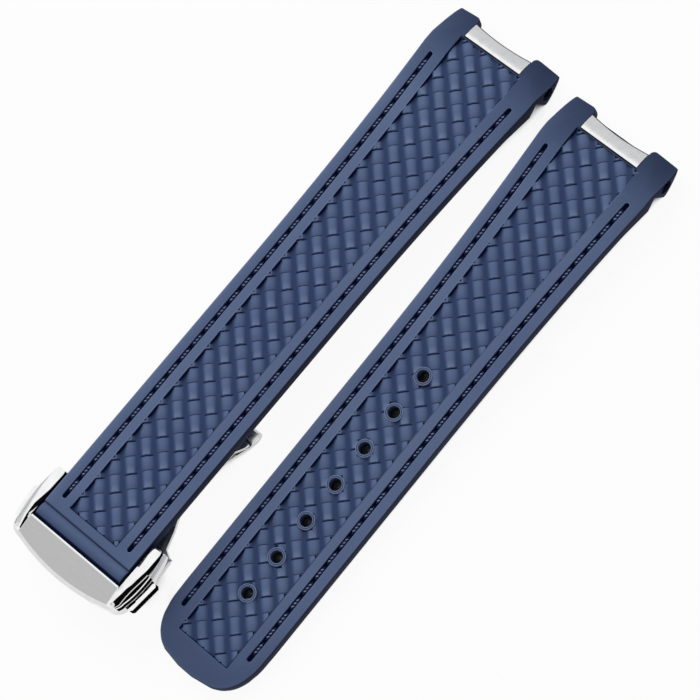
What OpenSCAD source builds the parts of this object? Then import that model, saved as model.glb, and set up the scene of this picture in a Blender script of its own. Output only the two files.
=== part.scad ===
// Two-piece silicone watch strap with curved case ends and a steel folding clasp.
// Each strap is drawn with its ear tips at y = 0, its length along -y and its flat top at z = 0.
// The clasp is drawn around the axis of its spring bar. Both straps then lie side by side on z = 0.

/* [Straps] */
// Width of both straps at the clasp and at the tail
strap_w = 18; // [17:0.5:19]
// Thickness of both straps away from their ends
strap_t = 2.3; // [2.1:0.1:2.5]
// From the ear tips to the axis of the clasp's spring bar
clasp_strap_l = 101.6; // [95:0.5:110]
// From the ear tips to the end of the rounded tail
tail_strap_l = 105.5; // [102:0.5:112]
// Length of the rounded part of the tail
tail_round_l = 10.5; // [9:0.5:12]
// Squareness of the tail's outline, where 2 is an ellipse
tail_square = 2.9; // [2.4:0.1:3.4]
// Distance between the centre lines of the two straps as they lie
pair_pitch = 24.35; // [24:0.05:30]
// How much further the clasp strap's tips reach than the tail strap's
pair_stagger = 1.15; // [0:0.05:3]
// How many degrees the tail strap is turned as it lies
tail_turn = -0.45; // [-1:0.05:0.5]

/* [Shoulders and ears] */
// How far each side swells out at the shoulders
shoulder_rise = 1.42; // [1:0.02:1.6]
// From the ear tips to the widest place of the shoulders
shoulder_at = 8; // [7.6:0.2:9]
// From the ear tips to where the sides begin to swell
flare_start = 55; // [46:1:64]
// How quickly the sides swell towards the shoulders, where 2 is a parabola
flare_power = 2.3; // [1.8:0.1:2.6]
// Width across both ears at their tips
ear_w = 19.9; // [19.5:0.1:20.2]
// Length over which the ears' sides round in to the tips
ear_side_round = 4; // [3:0.2:5]
// Length over which the ears slope down
ear_l = 5.5; // [5:0.1:6]
// Drop of the ears' inner top edge at the tips
ear_drop = 1.05; // [0.8:0.05:1.3]
// Slope in degrees of the ears' outer faces across the strap
ear_side_fall = 17; // [12:1:20]
// Slope in degrees of the ears' outer faces along the strap
ear_end_fall = 20.5; // [18:0.5:23]
// Bluntness of the ears' pointed tips
tip_edge = 0.5; // [0.4:0.1:0.7]

/* [Foot at the case end] */
// Depth of the foot below the strap's top
foot_drop = 4.65; // [4.5:0.05:4.8]
// From the ear tips to the near edge of the foot's sole
foot_at = 3.8; // [3.6:0.1:4]
// Length of the foot's flat sole
foot_sole = 0.6; // [0.4:0.1:0.8]
// Depth of the notch's roof below the strap's top
notch_roof = 1.5; // [1.4:0.1:1.7]
// From the ear tips to the notch's roof
notch_at = 5.9; // [5.8:0.1:6.2]
// Depth of the heel behind the notch
heel_drop = 3; // [2.8:0.1:3.2]
// From the ear tips to the lowest point of the heel
heel_at = 7.8; // [7.5:0.1:8.2]
// From the ear tips to where the heel begins
heel_start = 13.2; // [11:0.2:16]

/* [Case end inserts] */
// Bore of the steel tube that takes the watch's spring bar
case_bore_d = 1.9; // [1.7:0.05:2]
// Wall of that tube
case_tube_wall = 0.2; // [0.15:0.05:0.25]
// Length of that tube
case_tube_l = 20.1; // [19.5:0.1:20.2]
// From the ear tips to the tube's axis
case_bore_at = 3.3; // [3.2:0.05:3.4]
// Depth of the tube's axis below the strap's top
case_bore_drop = 2.4; // [2.35:0.05:2.45]
// Width of the steel end plate
plate_w = 11.1; // [10.6:0.1:11.4]
// Thickness of the end plate
plate_t = 0.7; // [0.6:0.05:0.75]
// From the ear tips to the end plate's outer edge
plate_at = 1.1; // [1:0.05:1.2]
// Length of the end plate seen from above
plate_l = 2.9; // [2.8:0.05:2.95]
// Drop of the end plate's outer edge
plate_drop = 0.65; // [0.5:0.05:0.75]
// Length of the lip that holds the end plate
plate_lip = 1.2; // [1:0.1:1.3]

/* [Woven panel] */
// Width of the recessed panel where the strap is straight
panel_w = 9.8; // [9.2:0.2:10.2]
// Depth of the panel's floor
panel_depth = 0.5; // [0.4:0.05:0.6]
// From the clasp bar to the panel's clasp end
panel_clasp_margin = 2.9; // [2.6:0.1:3.4]
// From the tail's end to the panel's tail end
panel_tail_margin = 4.45; // [4:0.05:5.2]
// Pitch of the weave both ways
weave_pitch = 2.6; // [2.4:0.05:2.9]
// Width of the valleys between the rows of the weave
weave_valley = 0.7; // [0.5:0.05:0.9]
// Width of the cuts across the rows of the weave
weave_cut = 0.22; // [0.16:0.02:0.3]
// Place of a row of the clasp strap's weave, measured along the other diagonal
clasp_row_at = 1.45; // [0:0.05:2.6]
// Place of a cut across the clasp strap's rows
clasp_cut_at = 0.3; // [0:0.05:2.6]
// Place of a row of the tail strap's weave
tail_row_at = 1.28; // [0:0.02:2.6]
// Place of a cut across the tail strap's rows
tail_cut_at = 0.22; // [0:0.02:2.6]

/* [Grooves] */
// Distance of the groove from the centre line where the strap is straight
groove_x = 6.9; // [6.6:0.1:7.2]
// Width of the groove
groove_w = 0.85; // [0.7:0.05:1]
// Depth of the groove
groove_depth = 0.55; // [0.4:0.05:0.7]
// From the ear tips to the groove's case end
groove_at = 9.35; // [8.8:0.05:10]
// From the clasp bar to the groove's clasp end
groove_clasp_margin = 3.8; // [3:0.1:4.5]
// From the tail's end to the groove's tail end
groove_tail_margin = 7.65; // [7:0.05:9]

/* [Adjustment holes] */
// Diameter of the holes
hole_d = 2; // [1.9:0.05:2.1]
// Outer diameter of the raised rim of each hole
rim_d = 2.9; // [2.7:0.1:3.1]
// How far the rims stand above the strap's top
rim_h = 0.06; // [0.04:0.01:0.1]
// Number of holes
hole_count = 7; // [5:1:7]
// Distance from hole to hole
hole_pitch = 7; // [6.5:0.1:7.2]
// From the ear tips to the first hole
first_hole = 48.5; // [45:0.5:50]

/* [Clasp spring bar] */
// Diameter of the strap's rolled end
roll_d = 3.8; // [3.6:0.1:3.9]
// Diameter of the spring bar's tube
bar_d = 1.8; // [1.6:0.05:1.9]
// Wall of the spring bar's tube
bar_wall = 0.25; // [0.2:0.05:0.3]
// Radius of the spring bar's necks
bar_neck_r = 0.45; // [0.4:0.02:0.5]
// How deep the necks sit in the lugs
bar_neck_in = 0.9; // [0.7:0.1:1.1]
// Inward travel of each tip
bar_travel = 1.2; // [1:0.1:1.4]

/* [Clasp cover] */
// Width across both lugs at their widest
cover_w = 23.8; // [23.4:0.1:24.2]
// From the spring bar to where the lugs are widest
cover_wide_at = 1.5; // [1:0.1:2]
// Radius of the lugs' bowed outer sides seen from above
cover_side_r = 20; // [18:0.5:24]
// Gap between a lug and the strap
lug_gap = 0.4; // [0.35:0.05:0.45]
// From the spring bar to the lugs' ends
lug_l = 6.65; // [6.3:0.05:7]
// Height of the lugs' top above the spring bar at their ends
lug_top = 1.15; // [1.05:0.05:1.25]
// Depth of the lugs' underside below the spring bar
lug_low = 1.9; // [1.8:0.05:2]
// From the spring bar to the cover's far end
cover_far = 6.6; // [6.5:0.05:6.8]
// Height of the cover's front edge above the spring bar
cover_rise = 1.45; // [1.4:0.05:1.5]
// Radius of the cover's curved top along the clasp
cover_bend_r = 16; // [14:0.5:18]
// Radius of the cover's far end seen from above
cover_end_r = 34; // [30:0.5:38]
// Radius of the cover's far corners seen from above
cover_corner_r = 2.4; // [2:0.1:3]
// Wall of the cover's top and far end
cover_t = 0.85; // [0.75:0.05:0.95]
// Depth of the cover's side walls below the spring bar
cover_low = 2.7; // [2.65:0.05:2.75]
// Gap around the strap's roll
roll_gap = 0.3; // [0.25:0.05:0.35]

/* [Push-buttons] */
// Length of a button along the clasp
button_l = 5.6; // [5.2:0.1:5.7]
// Height of a button
button_h = 1.7; // [1.6:0.05:1.75]
// How far a button stands out of the cover
button_out = 1.1; // [1:0.05:1.2]
// Travel of a button
button_travel = 0.8; // [0.6:0.05:0.85]
// Depth of a button's top below the spring bar
button_drop = 0.8; // [0.75:0.05:0.85]

/* [Blades] */
// Thickness of both blades
blade_t = 0.8; // [0.7:0.05:0.85]
// Gap between the folded blades
blade_gap = 0.3; // [0.25:0.05:0.4]
// Radius of the upper blade's bow
blade_bow_r = 50; // [47:1:60]
// Depth of the upper blade's middle below the spring bar
blade_top = 1.3; // [1.25:0.05:1.4]
// From the spring bar to the top of the bow
blade_mid = 13.1; // [12.6:0.1:13.6]
// From the spring bar to the hinge between the blades
blade_l = 29.1; // [28:0.1:31]
// Half width of the upper blade
blade_half_w = 7.3; // [7:0.1:7.5]
// Half width of the lower blade's waist
waist_half_w = 7.6; // [7.2:0.1:8]
// Length of the knuckles between the blades
knuckle_l = 17.6; // [17:0.1:18]
// Radius of the knuckles between the blades
knuckle_r = 1.15; // [1.1:0.05:1.2]
// Radius of the knuckles under the cover
cover_knuckle_r = 1; // [0.95:0.05:1.05]
// Radius of the hinge pins
pin_r = 0.5; // [0.45:0.02:0.55]
// Half width of the lower blade's wide end
cheek_half_w = 11.5; // [11.2:0.05:11.7]

/* [Peg frame] */
// Height of the strap channel under the lower blade
channel_h = 2.35; // [2.3:0.05:2.5]
// Thickness of the peg frame
frame_t = 0.6; // [0.5:0.05:0.65]
// Radius of the peg that goes into a strap hole
peg_r = 0.85; // [0.75:0.05:0.9]
// Height of the peg above its frame
peg_h = 1.9; // [1.7:0.05:1.95]

/* [Hidden] */

$fn = 64;
// Clearance of everything that turns or slides in metal
running = 0.05;
// Clearance of everything that is fixed in its seat
seat = 0.01;
// Overlap of solids that are joined, and overshoot of cuts
eps = 0.5;
silicone_colour = [0.25, 0.30, 0.47];
brushed_colour = [0.72, 0.72, 0.73];
polished_colour = [0.85, 0.85, 0.87];
spring_colour = [0.6, 0.6, 0.62];

half_w = strap_w / 2;
ear_half = ear_w / 2;
ear_round = 0.8;
roll_r = roll_d / 2;
crease_l = 1.4;
tube_r = case_bore_d / 2 + case_tube_wall;
plate_half = plate_w / 2;
plate_end = plate_at + plate_l;
panel_at = plate_end + running;
plate_r = (plate_l * plate_l + plate_drop * plate_drop) / (2 * plate_drop);
ear_r = (ear_l * ear_l + ear_drop * ear_drop) / (2 * ear_drop);
tip_low = ear_drop + tip_edge + (ear_half - plate_half - ear_round) * tan(ear_side_fall);

// The blades are bowed about one centre. Their bow ends where they pass under the roll
bow_end = 1.6;
lower_end = -2.8;
blade_step = blade_t + blade_gap;
upper_z = -blade_top;
lower_z = -blade_top - blade_step;
lower_bow_r = blade_bow_r - blade_step;
function bow(y, r, top) = top - r + sqrt(r * r - pow(y - blade_mid, 2));
function bow_slope(y, r) = -(y - blade_mid) / sqrt(r * r - pow(y - blade_mid, 2));

// The peg frame's bridge, below the channel that the other strap passes through
frame_back = 0.9;
frame_front = 4.1;
frame_mid = (frame_back + frame_front) / 2;
channel_top = bow(frame_mid, lower_bow_r, lower_z) - blade_t / 2;
frame_low = channel_h + frame_t - channel_top;

// How the straps lie: each on its foot, and on the clasp's frame or on its own tail
frame_drop = roll_r + frame_low;
clasp_slope = atan((frame_drop - foot_drop) / (clasp_strap_l - frame_front - foot_at));
foot_end = foot_at + foot_sole;
tail_slope = atan((foot_drop - strap_t) / (tail_strap_l - foot_end));
clasp_tip_z = foot_drop * cos(clasp_slope) - foot_at * sin(clasp_slope);
tail_tip_z = foot_drop * cos(tail_slope) + foot_end * sin(tail_slope);
side_reach = cover_w / 2 + button_out;
shoulder_half = half_w + shoulder_rise;
tail_reach = shoulder_half * cos(tail_turn) + shoulder_at * sin(tail_turn);
clasp_x = (side_reach - pair_pitch - tail_reach) / 2;
tail_x = clasp_x + pair_pitch;
far_y = (clasp_strap_l + cover_far) * cos(clasp_slope) + (roll_r + 2.4) * sin(clasp_slope);
clasp_tip_y = far_y / 2;
tail_tip_y = clasp_tip_y - pair_stagger;

module on_clasp_strap() {
    translate([clasp_x, clasp_tip_y, clasp_tip_z]) rotate([-clasp_slope, 0, 0]) children();
}

module on_tail_strap() {
    translate([tail_x, tail_tip_y, tail_tip_z]) rotate([tail_slope, 0, tail_turn]) children();
}

// The clasp's own frame: +y towards the case end, with the spring bar along x
module at_clasp() {
    on_clasp_strap() translate([0, -clasp_strap_l, -roll_r]) children();
}

// A side profile drawn in y and z, drawn out to both sides of the centre line
module across(half) {
    rotate([90, 0, 90]) translate([0, 0, -half]) linear_extrude(2 * half) children();
}

// A plan drawn in x and y, drawn out between two heights
module between(low, high) {
    translate([0, 0, low]) linear_extrude(high - low) children();
}

module cross_rod(r, half) {
    rotate([0, 90, 0]) cylinder(r = r, h = 2 * half, center = true);
}

module both_sides() {
    children();
    mirror([1, 0, 0]) children();
}

function reverse(list) = [for (i = [len(list) - 1 : -1 : 0]) list[i]];

// Swell of the strap's side at a distance from the ear tips
function swell(d) = d >= flare_start ? 0
    : shoulder_rise * pow((flare_start - max(d, shoulder_at)) / (flare_start - shoulder_at), flare_power);
// A line along the strap that lies at x where the strap is straight
function lane(x, d) = x + swell(d) * (0.5 + 0.5 * x / half_w);
function side_x(d) = d >= shoulder_at ? lane(half_w, d)
    : d >= ear_side_round ? shoulder_half
    : ear_half + (shoulder_half - ear_half) * sqrt(1 - pow(1 - d / ear_side_round, 2));
flare_steps = 9;
turn_steps = 6;
stations = concat(
    [for (k = [0 : turn_steps]) ear_side_round * (1 - cos(90 * k / turn_steps))],
    [shoulder_at],
    [for (k = [1 : flare_steps]) shoulder_at + (flare_start - shoulder_at) * k / flare_steps]
);

// Outline points of a lane between two distances, on one side
function lane_points(x, from, to) = [
    for (d = concat([from], [for (s = stations) if (s > from && s < to) s], [to])) [lane(x, d), -d]
];

module lane_band(x, from, to) {
    right = lane_points(x, from, to);
    left = [for (p = right) [-p[0], p[1]]];
    polygon(concat(right, reverse(left)));
}

module strap_plan(end_points) {
    right = concat([for (d = stations) [side_x(d), -d]], end_points);
    left = [for (p = right) [-p[0], p[1]]];
    polygon(concat(right, reverse(left)));
}

tail_steps = 14;
tail_points = [
    for (k = [0 : tail_steps])
        let (a = 90 * k / tail_steps, start = tail_strap_l - tail_round_l)
        [half_w * pow(cos(a), 2 / tail_square), -start - tail_round_l * pow(sin(a), 2 / tail_square)]
];

arc_steps = 8;
function ear_top(d) = d >= ear_l ? 0 : sqrt(ear_r * ear_r - pow(ear_l - d, 2)) - ear_r;

// The strap seen from its side, with its ear, foot, notch and heel
module strap_side(length) {
    top = [for (k = [0 : arc_steps]) let (d = ear_l * (1 - k / arc_steps)) [-d, ear_top(d)]];
    polygon(concat([[-length, 0]], top, [
        [0, -tip_low],
        [-foot_at, -foot_drop],
        [-foot_end, -foot_drop],
        [-notch_at, -notch_roof],
        [-heel_at, -heel_drop],
        [-heel_start, -strap_t],
        [-length, -strap_t]
    ]));
}

// The sloping plane that cuts the outer top of the right ear
module ear_cut() {
    size = 16;
    translate([ear_half, 0, -tip_low + tip_edge])
        rotate([-atan(tan(ear_end_fall) * cos(ear_side_fall)), ear_side_fall, 0])
            translate([-size / 2, -size / 2, 0]) cube([size, size, size]);
}

// Gap between the ears, and the round at its mouth
module ear_gap() {
    half = plate_half + seat;
    polygon([
        [-half, -plate_at],
        [-half, -ear_round],
        [-half - ear_round, eps],
        [half + ear_round, eps],
        [half, -ear_round],
        [half, -plate_at]
    ]);
}

function plate_arc(drop) = [
    for (k = [0 : arc_steps])
        let (a = asin(plate_l / plate_r) * k / arc_steps, r = plate_r - drop)
        [-plate_end + r * sin(a), r * cos(a) - plate_r]
];

// The end plate seen from its side, from its inner edge to its lip
module plate_side(drop) {
    upper = plate_arc(0);
    lower = [for (p = plate_arc(drop)) if (p[0] < -plate_at - drop) p];
    polygon(concat(
        upper,
        [[-plate_at, -plate_drop - drop - plate_lip], [-plate_at - drop, -plate_drop - drop - plate_lip]],
        reverse(lower)
    ));
}

module plate_seat() {
    across(plate_half + seat) {
        translate([-seat, -seat]) plate_side(plate_t);
        translate([0, plate_drop]) plate_side(plate_t);
        polygon([
            [-plate_at - eps, -plate_drop - plate_t - plate_lip - seat],
            [-plate_at - eps, eps],
            [eps, eps],
            [eps, -plate_drop - plate_t - plate_lip - seat]
        ]);
    }
    between(-foot_drop, eps) ear_gap();
}

module end_plate() {
    color(polished_colour) across(plate_half) plate_side(plate_t);
}

module bar_tube() {
    color(polished_colour) translate([0, -case_bore_at, -case_bore_drop]) difference() {
        cross_rod(tube_r, case_tube_l / 2);
        cross_rod(case_bore_d / 2, case_tube_l / 2 + eps);
    }
}

row_w = weave_pitch - weave_valley;
row_r = (row_w * row_w / 4 + panel_depth * panel_depth) / (2 * panel_depth);
weave_reach = 4;

// The weave stands at 45 degrees to the strap: rows along one diagonal, cuts along the other
module weave_cells(to, cut_at) {
    rows = ceil((to + half_w) / weave_pitch);
    for (i = [-rows : 0], j = [i - weave_reach : i + weave_reach]) {
        translate([i * weave_pitch - row_w / 2, cut_at + j * weave_pitch + weave_cut / 2])
            square([row_w, weave_pitch - weave_cut]);
    }
}

// Each row is part of a cylinder whose crown meets the strap's top
module weave_rows(to) {
    rows = ceil((to + half_w) / weave_pitch);
    reach = (rows + weave_reach) * weave_pitch;
    for (i = [-rows : 0]) {
        translate([i * weave_pitch, weave_reach * weave_pitch, -row_r - seat])
            rotate([90, 0, 0]) cylinder(r = row_r, h = reach + weave_reach * weave_pitch);
    }
}

module weave(from, to, row_at, cut_at) {
    intersection() {
        between(-2 * panel_depth, eps) intersection() {
            lane_band(panel_w / 2, from, to);
            rotate(45) translate([row_at, 0]) weave_cells(to, cut_at);
        }
        rotate(45) translate([row_at, 0, 0]) weave_rows(to);
    }
}

// A groove with round ends that follows the strap's side
module groove(from, to) {
    right = lane_points(groove_x + groove_w / 2, from, to);
    left = lane_points(groove_x - groove_w / 2, from, to);
    both_sides() between(-groove_depth, eps) {
        polygon(concat(right, reverse(left)));
        for (d = [from, to]) translate([lane(groove_x, d), -d]) circle(d = groove_w);
    }
}

// Everything that both straps share: ears, foot, grooves, panel and the inserts' seats
module strap_body(length, panel_end, groove_end, end_points, row_at, cut_at) {
    difference() {
        intersection() {
            between(-foot_drop - eps, eps) strap_plan(end_points);
            across(shoulder_half + eps) strap_side(length);
        }
        both_sides() ear_cut();
        plate_seat();
        between(-panel_depth, eps) lane_band(panel_w / 2, plate_end, panel_end);
        groove(groove_at, groove_end);
        translate([0, -case_bore_at, -case_bore_drop]) cross_rod(tube_r + seat, ear_half + eps);
    }
    weave(panel_at, panel_end, row_at, cut_at);
}

module clasp_strap() {
    body_l = clasp_strap_l - crease_l;
    color(silicone_colour) on_clasp_strap() difference() {
        union() {
            strap_body(
                body_l,
                clasp_strap_l - panel_clasp_margin,
                clasp_strap_l - groove_clasp_margin,
                [[half_w, -body_l]],
                clasp_row_at,
                clasp_cut_at
            );
            translate([0, -clasp_strap_l, -roll_r]) cross_rod(roll_r, half_w);
        }
        translate([0, -clasp_strap_l, -roll_r]) cross_rod(bar_d / 2 + seat, half_w + eps);
    }
}

module tail_strap() {
    panel_end = tail_strap_l - panel_tail_margin;
    color(silicone_colour) on_tail_strap() difference() {
        union() {
            strap_body(
                tail_strap_l,
                panel_end,
                tail_strap_l - groove_tail_margin,
                tail_points,
                tail_row_at,
                tail_cut_at
            );
            for (k = [0 : hole_count - 1]) {
                translate([0, -first_hole - k * hole_pitch, -2 * panel_depth])
                    cylinder(d = rim_d, h = 2 * panel_depth + rim_h);
            }
        }
        for (k = [0 : hole_count - 1]) {
            translate([0, -first_hole - k * hole_pitch, -strap_t - eps])
                cylinder(d = hole_d, h = strap_t + 2 * eps);
        }
    }
}

module clasp_strap_end_plate() {
    on_clasp_strap() end_plate();
}

module clasp_strap_bar_tube() {
    on_clasp_strap() bar_tube();
}

module tail_strap_end_plate() {
    on_tail_strap() end_plate();
}

module tail_strap_bar_tube() {
    on_tail_strap() bar_tube();
}

// Spring bar of the clasp: a barrel with two sprung tips that reach into the lugs
barrel_half = half_w - 0.4;
barrel_lip = 0.5;
plunger_l = 2.6;
plunger_r = bar_d / 2 - bar_wall - running;
lug_in = half_w + lug_gap;

module clasp_bar_barrel() {
    color(brushed_colour) at_clasp() difference() {
        cross_rod(bar_d / 2, barrel_half);
        cross_rod(bar_neck_r + running, barrel_half + eps);
        cross_rod(bar_d / 2 - bar_wall, barrel_half - barrel_lip);
    }
}

module bar_tip() {
    inner = barrel_half - barrel_lip - plunger_l;
    color(polished_colour) rotate([0, 90, 0]) {
        translate([0, 0, inner]) cylinder(r = plunger_r, h = plunger_l - running);
        translate([0, 0, inner + plunger_l / 2])
            cylinder(r = bar_neck_r, h = lug_in + bar_neck_in - inner - plunger_l / 2);
    }
}

module clasp_bar_tip_right() {
    at_clasp() bar_tip();
}

module clasp_bar_tip_left() {
    at_clasp() mirror([1, 0, 0]) bar_tip();
}

module clasp_bar_spring() {
    half = barrel_half - barrel_lip - plunger_l - bar_travel - running;
    color(spring_colour) at_clasp() difference() {
        cross_rod(plunger_r, half);
        cross_rod(plunger_r - 0.2, half + eps);
    }
}

// Clasp cover: two lugs beside the strap, and a curved top that ends over the hinge
cover_half = cover_w / 2;
seat_r = roll_r + roll_gap;
front_y = -sqrt(seat_r * seat_r - cover_rise * cover_rise);
start_tilt = 5;
end_tilt = asin(sin(start_tilt) + (cover_far + front_y) / cover_bend_r);
hinge_y = -5.1;
hinge_z = -2.75;
neck_half = 2.9;
cover_knuckle_half = 6;
side_slope = 24;
side_slope_in = 0.6;
side_slope_drop = 0.35;
slope_cut = 5;
button_mid = -0.45;
lug_round = 0.6;
side_end = 2.6;
far_lean = 0.2;
notch_h = 1.2;
low_reach = 2.5;
pocket_floor = 0.35;
guide_l = button_l + 2 * running;
leg_front = 1.8;
leg_back = -0.1;
leg_in = 0.2;
leg_t = 0.8;
leg_top = 0.5;

// Height of the cover's top at y, measured down by drop along the bend's radius
function cover_arc(drop) = [
    for (k = [0 : arc_steps])
        let (a = start_tilt + (end_tilt - start_tilt) * k / arc_steps, r = cover_bend_r - drop)
        [
            front_y + cover_bend_r * sin(start_tilt) - r * sin(a),
            cover_rise - cover_bend_r * cos(start_tilt) + r * cos(a)
        ]
];

// The cover's lug and side wall seen from the side
module cover_side() {
    outer = cover_arc(0);
    last = outer[arc_steps];
    polygon(concat(
        [
            [lug_l - lug_round, lug_top],
            [lug_l, lug_top - lug_round],
            [lug_l, lug_round - lug_low],
            [lug_l - lug_round, -lug_low],
            [side_end + lug_round, -lug_low],
            [side_end, -cover_low],
            [last[0] + far_lean, -cover_low],
            last
        ],
        reverse(outer)
    ));
}

// The cover seen from above: bowed sides, a bowed far end and round far corners
function bowed_side(y) = cover_half - cover_side_r + sqrt(pow(cover_side_r, 2) - pow(y - cover_wide_at, 2));
function bowed_end(x) = cover_end_r - cover_far - sqrt(pow(cover_end_r, 2) - x * x);
// Where the round of a far corner starts on the side and on the far end
corner_y = bowed_end(cover_half) + cover_corner_r * 0.6;
corner_x = bowed_side(corner_y) - cover_corner_r;
plan_steps = 6;
module cover_plan() {
    side = [
        for (k = [0 : plan_steps]) let (y = lug_l + (corner_y - lug_l) * k / plan_steps) [bowed_side(y), y]
    ];
    corner = [
        for (k = [1 : plan_steps - 1]) let (a = 90 * k / plan_steps) [
            corner_x + (bowed_side(corner_y) - corner_x) * cos(a),
            corner_y + (bowed_end(corner_x) - corner_y) * sin(a)
        ]
    ];
    far = [for (k = [0 : plan_steps]) let (x = corner_x * (1 - k / plan_steps)) [x, bowed_end(x)]];
    right = concat(side, corner, far);
    polygon(concat(right, reverse([for (p = right) [-p[0], p[1]]])));
}

module clasp_cover() {
    color(polished_colour) at_clasp() difference() {
        union() {
            difference() {
                intersection() {
                    between(-cover_low - eps, cover_rise + eps) cover_plan();
                    across(cover_half + eps) cover_side();
                }
                // Space inside the cover, under its top, around the roll and behind its far end
                intersection() {
                    across(lug_in) polygon(concat(
                        [[lug_l + eps, cover_rise + eps], [front_y, cover_rise + eps]],
                        cover_arc(cover_t),
                        [[-cover_far, -cover_low - eps], [lug_l + eps, -cover_low - eps]]
                    ));
                    between(-cover_low - eps, cover_rise + eps) translate([0, cover_t]) cover_plan();
                }
                cross_rod(seat_r, lug_in);
                // Slope of the cover's sides
                both_sides() translate([lug_in + side_slope_in, 0, cover_rise - side_slope_drop])
                    rotate([0, side_slope, 0]) translate([0, -cover_far - eps, 0])
                        cube([slope_cut, cover_far + lug_l + 2 * eps, slope_cut]);
            }
            // Knuckles for the upper blade's hinge pin, hung from the curved top
            both_sides() translate([neck_half + running, 0, 0]) intersection() {
                rotate([90, 0, 90]) linear_extrude(cover_knuckle_half - neck_half) union() {
                    translate([hinge_y, hinge_z]) circle(r = cover_knuckle_r);
                    translate([hinge_y - cover_knuckle_r, hinge_z])
                        square([2 * cover_knuckle_r, cover_rise - hinge_z]);
                }
                rotate([90, 0, 90]) linear_extrude(cover_knuckle_half) cover_side_low();
            }
        }
        cross_rod_at(hinge_y, hinge_z, pin_r + seat, cover_knuckle_half + eps);
        // Notch that the upper blade's neck swings through
        translate([-neck_half - running, -cover_far - eps, -cover_low - eps])
            cube([2 * (neck_half + running), cover_far + eps + hinge_y, eps + notch_h]);
        // Blind holes for the spring bar's tips
        cross_rod(bar_neck_r + running, lug_in + bar_neck_in + 0.2);
        both_sides() button_pocket();
    }
}

// Limits the knuckles to the space under the cover's curved top
module cover_side_low() {
    outer = cover_arc(cover_t / 2);
    polygon(concat(
        [[hinge_y + low_reach, cover_rise]],
        outer,
        [[outer[arc_steps][0] + far_lean, hinge_z - 2], [hinge_y + low_reach, hinge_z - 2]]
    ));
}

module cross_rod_at(y, z, r, half) {
    translate([0, y, z]) cross_rod(r, half);
}

// Pocket in the right side wall that a button slides in, open below for its leg
module button_pocket() {
    bottom = -button_drop - button_h;
    translate([lug_in + pocket_floor, button_mid - guide_l / 2, bottom - running])
        cube([cover_w, guide_l, button_h + 2 * running]);
    translate([lug_in + pocket_floor, button_mid - guide_l / 2, -cover_low - eps])
        cube([cover_w, guide_l, eps + cover_low + bottom]);
    translate([lug_in - eps, leg_back - running, -cover_low - eps])
        cube([cover_w, leg_front - leg_back + 2 * running, eps + cover_low + bottom + leg_top + running]);
}

module cover_hinge_pin() {
    color(polished_colour) at_clasp() cross_rod_at(hinge_y, hinge_z, pin_r, cover_knuckle_half);
}

// Right push-button: a pad in the side wall with a leg that drops into the lower blade
pad_in = lug_in + pocket_floor + button_travel + running;
button_spring_r = 0.5;
spring_z = -button_drop - 0.7;
spring_hole = 1.4;
button_edge = 0.35;
button_run = 0.45;
leg_z = -4.4;

module button() {
    bottom = -button_drop - button_h;
    out = cover_half + button_out;
    difference() {
        intersection() {
            translate([pad_in, button_mid - button_l / 2, bottom])
                cube([out - pad_in, button_l, button_h]);
            // The outer face runs in towards the far end
            between(bottom, bottom + button_h) polygon([
                [0, button_mid + button_l / 2], [out - button_edge, button_mid + button_l / 2],
                [out, button_mid + button_l / 2 - button_edge],
                [out - button_run, button_mid - button_l / 2 + button_edge],
                [out - button_run - button_edge, button_mid - button_l / 2],
                [0, button_mid - button_l / 2]
            ]);
        }
        translate([pad_in - eps, button_mid, spring_z]) rotate([0, 90, 0])
            cylinder(r = button_spring_r + running, h = eps + spring_hole);
    }
    translate([lug_in + leg_in, leg_back, bottom]) cube([pad_in - lug_in, leg_front - leg_back, leg_top]);
    translate([lug_in + leg_in, leg_back, leg_z])
        cube([leg_t, leg_front - leg_back, bottom - leg_z + leg_top]);
}

module push_button_right() {
    color(polished_colour) at_clasp() button();
}

module push_button_left() {
    color(polished_colour) at_clasp() mirror([1, 0, 0]) button();
}

module button_spring() {
    start = lug_in + pocket_floor + seat;
    length = pad_in + spring_hole - button_travel - running - start;
    translate([start, button_mid, spring_z]) rotate([0, 90, 0]) difference() {
        cylinder(r = button_spring_r, h = length);
        translate([0, 0, -eps]) cylinder(r = button_spring_r - 0.2, h = length + 2 * eps);
    }
}

module button_spring_right() {
    color(spring_colour) at_clasp() button_spring();
}

module button_spring_left() {
    color(spring_colour) at_clasp() mirror([1, 0, 0]) button_spring();
}

bow_steps = 14;
blades_low = -10;
blades_high = 5;
neck_l = 2.4;
cheek_in = 9.6;
cheek_end = 6.7;
cheek_edge = 0.5;
window_in = 8.5;
window_w = 2.05;
window_room = 0.4;
// Half outlines of the blades seen from above, from the roll to the tip
upper_outline = [
    [blade_half_w, bow_end], [blade_half_w, 8], [8, 11], [8, blade_l - 4], [knuckle_l / 2, blade_l - 2.2]
];
lower_outline = [
    [cheek_half_w - cheek_edge, lower_end], [cheek_half_w, lower_end + cheek_edge],
    [cheek_half_w, cheek_end - cheek_edge], [cheek_half_w - cheek_edge, cheek_end], [9.8, 7.4],
    [9, 10.2], [8, 12.6], [waist_half_w, 15], [waist_half_w, 22.5], [8.3, 25.2], [knuckle_l / 2, 27.4]
];
tip_z = (bow(blade_l, blade_bow_r, upper_z) + bow(blade_l, lower_bow_r, lower_z)) / 2;

// A bowed strip of the blades' thickness between two places, seen from the side
module bow_strip(r, top, from, to) {
    line = [for (k = [0 : bow_steps]) let (y = from + (to - from) * k / bow_steps) [y, bow(y, r, top)]];
    up = [for (p = line) [p[0], p[1] + blade_t / 2]];
    down = [for (p = line) [p[0], p[1] - blade_t / 2]];
    polygon(concat(up, reverse(down)));
}

module half_plan(points) {
    polygon(concat(points, reverse([for (p = points) [-p[0], p[1]]])));
}

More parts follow.
